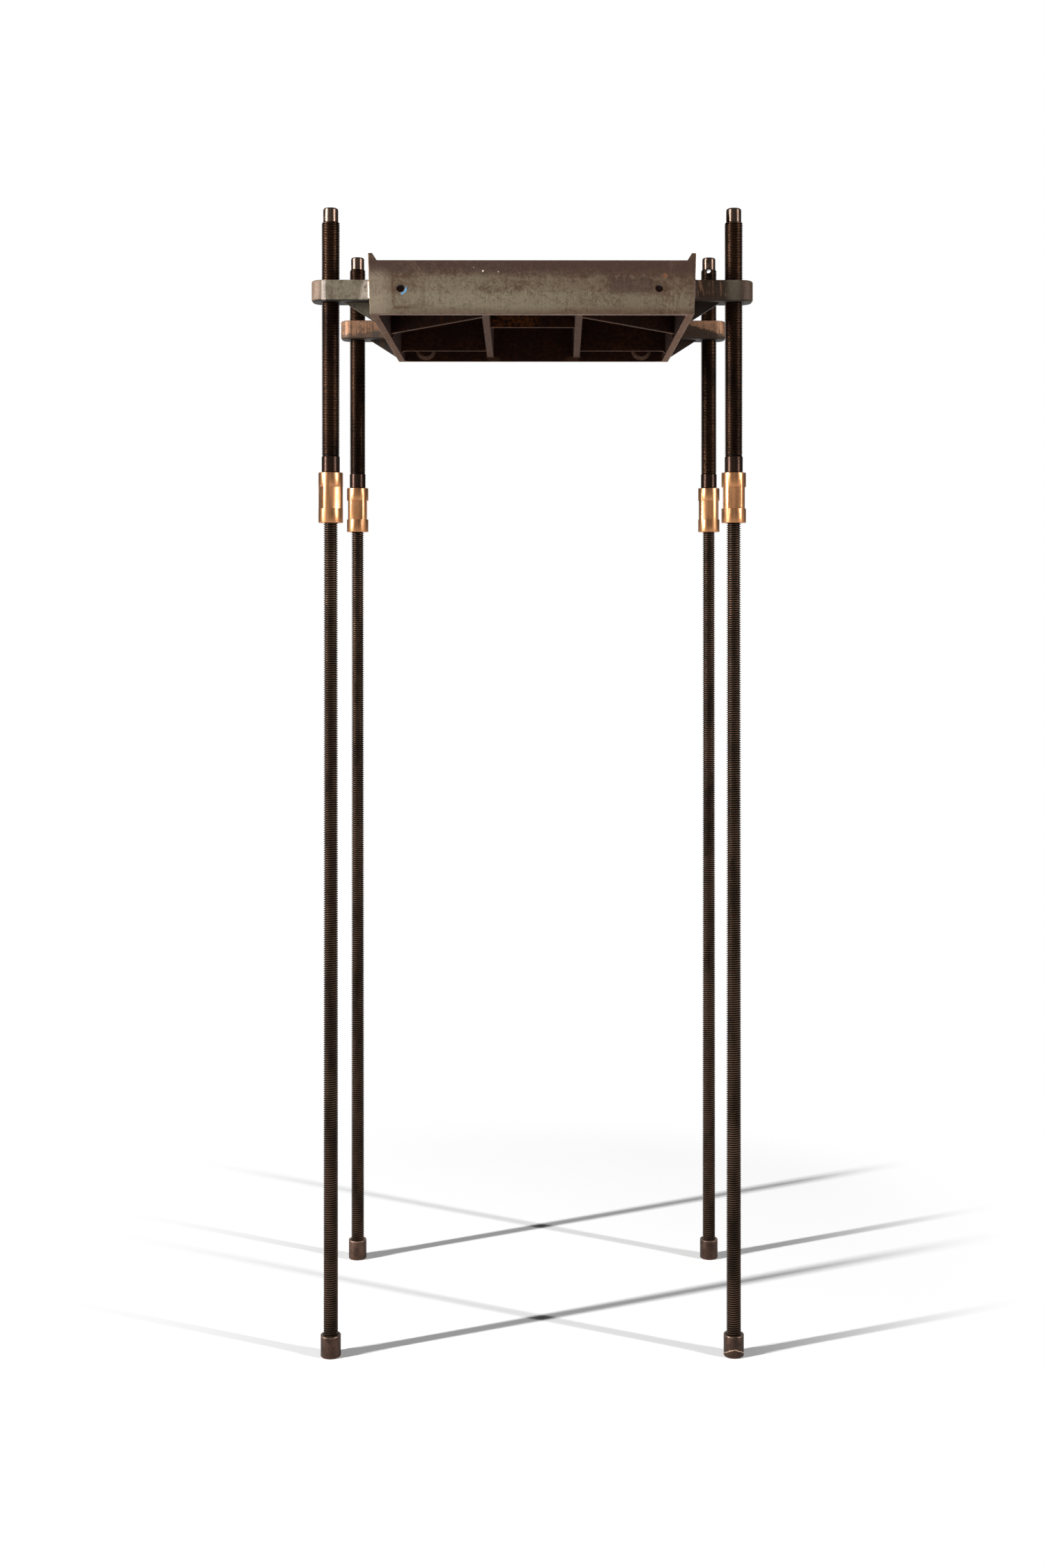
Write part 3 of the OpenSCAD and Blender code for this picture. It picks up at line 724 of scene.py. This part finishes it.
def steel_finish(name, root, body, crest, rough, tip_z=None, collar_z=None):
    """Dark oiled steel: black roots, brown flanks and rubbed crests.

    A screw also has a bright tip above tip_z and a smooth collar below collar_z, in millimetres.
    """
    material, n = new_finish(name)
    x, y, z = n.millimetres()
    wear = n.attribute("crest")
    patch = n.noise(14, (1, 1, 3), 4)
    grain = n.noise(0.8, (1, 1, 1), 3)
    colour = n.blend(wear.rise(0.1, 0.9), root, n.blend((patch + 0.5).rise(0.3, 0.7), body, crest))
    rubbed = wear.rise(0.75, 1) * (patch + grain + 0.5).rise(0.35, 0.8)
    colour = n.blend(rubbed * 0.8, colour, crest)
    roughness = rough + grain * 0.25 + patch * 0.2 - rubbed * 0.1
    metal = 0.85 + rubbed * 0.15
    light = 1 + grain * 0.4
    if tip_z:
        smooth = z.rise(collar_z + 0.1, collar_z - 0.1)
        colour = n.blend(smooth, colour, n.blend((patch + grain + 0.5).rise(0.3, 0.8), COLLAR_BROWN, body))
        roughness = roughness * (1 - smooth) + smooth * (0.3 + grain * 0.2)
        bright = (z + patch * 3).rise(tip_z - 0.2, tip_z + 0.4) * z.rise(tip_z - 0.4, tip_z)
        polish = n.noise(0.25, (1, 1, 30), 2)
        tip = n.blend((patch + polish + 0.5).rise(0.1, 0.8), TIP_SHADE, TIP_BRIGHT)
        colour = n.blend(bright, colour, tip)
        roughness = roughness * (1 - bright) + bright * (0.3 + polish * 0.2)
        metal = metal + bright * (1 - metal)
        # Painted shade: the polished tips of the right-hand legs darker, the front right one most
        light = light - bright * x.rise(0, 1) * (0.3 + y.rise(1, -1) * 0.16)
    n.surface(n.shade(colour, light), roughness, metal, grain, 0.05, 0.2)
    return material


def coupling_finish():
    """Turned bronze with fine tool rings, brown stains and lighter milled flats."""
    material, n = new_finish("coupling_bronze")
    rings = n.noise(0.3, (60, 60, 1), 2)
    patch = n.noise(7, (1, 1, 1.2), 5, 0.6)
    grain = n.noise(0.6, (1, 1, 2), 3)
    stain = (patch + grain * 0.4).rise(0.02, 0.35)
    colour = n.blend(stain * 0.6, BRONZE, BRONZE_STAIN)
    colour = n.blend((patch - grain).rise(0, -0.35) * 0.4, colour, BRONZE_BRIGHT)
    flat = n.attribute("flat")
    light = 1 + rings * (1 - flat) * 0.3 + flat * (0.3 + patch * 0.4)
    n.surface(n.shade(colour, light), 0.31 + stain * 0.12 + grain * 0.12, 1 - stain * 0.1,
              rings * (1 - flat) + grain * 0.5, 0.04)
    return material


def foot_finish():
    """Brown turned steel, rubbed bright at its rims."""
    material, n = new_finish("foot_steel")
    x, y, z = n.millimetres()
    rings = n.noise(0.4, (60, 60, 1), 2)
    patch = n.noise(6, (1, 1, 1.5), 5, 0.6)
    grain = n.noise(0.6, (1, 1, 1), 3)
    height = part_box("foot_fl")[1].z * 1000
    rim = (z + patch * 2).rise(height - 1.4, height - 0.4) + (z + patch * 2).rise(1.3, 0.5)
    colour = n.blend((patch + 0.5).rise(0.25, 0.75), FOOT_DARK, FOOT_BROWN)
    rim = rim.rise(0.1, 0.9) * (grain + patch + 0.6).rise(0.3, 0.9)
    colour = n.blend(rim * 0.6, colour, FOOT_RIM)

    # Crack across the front of the front right foot
    middle = leg_centre("fr") * 1000
    across = (x - middle.x) / (FOOT_R * 1000)
    line = z - height * (0.4 - across * across * 0.24) + n.noise(3, (1, 1, 1), 4, 0.7) * 4
    crack = line.within(-0.3, 0.3, 0.25) * y.rise(middle.y, middle.y - 1) * x.rise(0, 1)
    colour = n.blend(crack * (grain * 2 + 0.8).rise(0, 0.8), colour, FOOT_CRACK)
    rim = (rim + crack * 0.5).rise(0, 1)
    light = 1 + grain * 0.4 + x.rise(1, -1) * y.rise(-1, 1) * 0.5
    n.surface(n.shade(colour, light), 0.42 + grain * 0.25 - rim * 0.12, 0.6 + rim * 0.3,
              rings + grain - crack * 4, 0.05, 0.25)
    return material


def leg_pieces():
    """The four pieces of one leg on the Z axis, with their body, slot, node, turn and finish."""
    screw_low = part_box("elevating_screw_fl")[0].z
    coupling_low, coupling_high = (corner.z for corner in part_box("coupling_fl"))
    rod_low, rod_high = (corner.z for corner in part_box("leg_rod_fl"))
    foot_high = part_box("foot_fl")[1].z
    screw = screw_mesh("screw", screw_low, coupling_high)
    sleeve = coupling_mesh("sleeve", coupling_low, coupling_high)
    rod = rod_mesh("rod", rod_low, rod_high - rod_low)
    cup = foot_mesh("cup", foot_high)
    return [
        (screw, "_leg", "screw_steel", "elevating_screw_", "hole_turn"),
        (sleeve, "_leg", "coupling_bronze", "coupling_", "flat_turn"),
        (rod, "_leg", "rod_steel", "leg_rod_", "rod_turn"),
        (cup, "_foot", "foot_steel", "foot_", "rod_turn"),
    ]


def add_legs():
    """Four legs, each from copies of the same four pieces."""
    for model, body, slot, node, turn in leg_pieces():
        for leg, facts in LEGS.items():
            made = placed(model, model.name, leg, facts[turn])
            finished(made, FINISH[slot], facts["body"] + body, slot, node + leg)
        bpy.data.objects.remove(model)


def add_floor():
    """White floor that keeps the shadows near the object and fades to plain white further out."""
    bm = bmesh.new()
    bmesh.ops.create_circle(bm, cap_ends=True, segments=96, radius=FLOOR_R)
    floor = to_object(bm, "floor")
    material, n = new_finish("floor_white")
    x, y = n.axes(n.place)[:2]
    seen = n.light_path("Is Camera Ray") + n.light_path("Is Glossy Ray") + n.light_path("Is Transmission Ray")
    near_left, near_right = 1 - x.rise(*FADE_LEFT), 1 - (x - y * FADE_LEAN).rise(*FADE_RIGHT)
    kept = near_left * near_right * (1 - n.away(x, y).rise(*FADE_FAR))
    lit = n.node("ShaderNodeBsdfDiffuse", {}, {"Color": (FLOOR_LIT,) * 3 + (1,)})
    white = n.node("ShaderNodeEmission", {}, {"Color": (1, 1, 1, 1), "Strength": 1})
    dim = n.node("ShaderNodeBsdfDiffuse", {}, {"Color": (FLOOR_DIM,) * 3 + (1,)})
    shown = n.node("ShaderNodeMixShader", {}, {0: kept, 1: white, 2: lit})
    surface = n.node("ShaderNodeMixShader", {}, {0: seen.rise(0, 0.5), 1: dim, 2: shown})
    clear = n.node("ShaderNodeBsdfTransparent", {}, {})
    from_below = n.node("ShaderNodeNewGeometry", {}, {}, "Backfacing")
    surface = n.node("ShaderNodeMixShader", {}, {0: from_below, 1: surface, 2: clear})
    n.node("ShaderNodeOutputMaterial", {}, {"Surface": surface})
    floor.data.materials.append(material)


def add_world():
    """White background, a dim room that lights from the front, and little light from above and behind."""
    world = bpy.data.worlds.new("studio")
    bpy.context.scene.world = world
    world.use_nodes = True
    n = Nodes(world.node_tree, "Generated")
    x, y, z = n.axes(n.place)
    glossy = n.light_path("Is Glossy Ray")
    seen = n.light_path("Is Camera Ray") + n.light_path("Is Transmission Ray") + glossy * y.rise(0.8, 0.95)
    low = z.size().rise(0.7, 0.05)
    room = ROOM_DIM + low * (y.rise(0.1, -0.9) * ROOM_FRONT + y.rise(-0.1, 0.9) * ROOM_BACK)
    strip = y.rise(0, -0.5) * x.size().rise(0.16, 0.06) * ROOM_STRIP
    strength = n.math("MAXIMUM", room * (1 - glossy) + glossy * (ROOM_SEEN + strip), seen.rise(0, 1))
    back = n.node("ShaderNodeBackground", {}, {"Color": (1, 1, 1, 1), "Strength": strength})
    n.node("ShaderNodeOutputWorld", {}, {"Surface": back})


def add_lamp(name, bearing, power):
    """Tall narrow lamp at a bearing from the front, in degrees to the right, turned towards the stand."""
    lamp = bpy.data.lights.new(name, "AREA")
    lamp.shape = "RECTANGLE"
    lamp.size = LAMP_WIDTH
    lamp.size_y = LAMP_HIGH - LAMP_LOW
    lamp.energy = power
    made = bpy.data.objects.new(name, lamp)
    bpy.context.scene.collection.objects.link(made)
    a = math.radians(bearing)
    made.location = (math.sin(a) * LAMP_DISTANCE, -math.cos(a) * LAMP_DISTANCE, (LAMP_LOW + LAMP_HIGH) / 2)
    made.rotation_euler = (math.pi / 2, 0, a)


def add_camera():
    """Camera at the photograph's viewing angle."""
    camera = bpy.data.objects.new("camera", bpy.data.cameras.new("camera"))
    bpy.context.scene.collection.objects.link(camera)
    camera.data.lens = LENS
    camera.data.shift_x, camera.data.shift_y = SHIFT
    camera.location = CAMERA_AT
    camera.rotation_euler = (math.radians(90), 0, math.radians(CAMERA_TURN))
    bpy.context.scene.camera = camera


# Colours of the finishes, as screen values
BROWN_IRON = srgb(70, 50, 37)
GREEN_BLOOM = srgb(116, 107, 88)
RUST_BROWN = srgb(66, 45, 30)
DARK_BROWN = srgb(58, 40, 32)
PALE_IRON = srgb(134, 119, 103)
LUG_DARK = srgb(48, 31, 21)
LUG_BROWN = srgb(80, 61, 48)
LUG_GREEN = srgb(121, 113, 96)
LUG_SHADE = srgb(22, 14, 9)
LUG_GREY = srgb(64, 56, 52)
LUG_END = srgb(114, 93, 78)
LUG_COPPER = srgb(118, 88, 66)
BARE_COPPER = srgb(160, 118, 90)
BRIGHT_IRON = srgb(226, 210, 196)
WORN_EDGE = srgb(128, 104, 88)
DECK_RUST = srgb(110, 60, 24)
ORANGE_RUST = srgb(150, 92, 50)
PALE_SPECK = srgb(235, 214, 190)
TABLE_DARK = srgb(78, 68, 60)
TABLE_LIGHT = srgb(128, 118, 106)
SOOT = srgb(38, 15, 5)
RAW_CASTING = srgb(74, 38, 16)
RIM_LIGHT = srgb(162, 126, 104)
RIM_DARK = srgb(92, 66, 51)
CHALK_BLUE = srgb(96, 160, 208)
COLLAR_BROWN = srgb(53, 38, 31)
TIP_SHADE = srgb(74, 58, 49)
TIP_BRIGHT = srgb(116, 96, 84)
BRONZE = srgb(190, 134, 92)
BRONZE_STAIN = srgb(120, 78, 50)
BRONZE_BRIGHT = srgb(224, 176, 132)
FOOT_DARK = srgb(42, 30, 24)
FOOT_BROWN = srgb(74, 54, 44)
FOOT_CRACK = srgb(206, 172, 148)
FOOT_RIM = srgb(160, 134, 118)
SCREW_ROOT = srgb(12, 7, 4)
SCREW_BODY = srgb(38, 24, 17)
SCREW_CREST = srgb(92, 62, 44)
ROD_ROOT = srgb(22, 17, 13)
ROD_BODY = srgb(64, 49, 39)
ROD_CREST = srgb(118, 92, 74)

TIP_LEVEL = (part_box("elevating_screw_fl")[1].z - TIP_H) * 1000
COLLAR_LEVEL = (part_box("coupling_fl")[1].z + COLLAR_H) * 1000

FINISH = {
    "bed_iron": bed_finish(),
    "screw_steel": steel_finish("screw_steel", SCREW_ROOT, SCREW_BODY, SCREW_CREST, 0.4,
                                TIP_LEVEL, COLLAR_LEVEL),
    "rod_steel": steel_finish("rod_steel", ROD_ROOT, ROD_BODY, ROD_CREST, 0.45),
    "coupling_bronze": coupling_finish(),
    "foot_steel": foot_finish(),
}

finished(bed_mesh("casting"), FINISH["bed_iron"], "bed", "bed_iron", "planer_bed")
add_legs()
add_floor()
add_world()
add_lamp("key_left", **KEY_LEFT)
add_lamp("key_right", **KEY_RIGHT)
add_camera()

bpy.context.scene.view_settings.view_transform = "Standard"
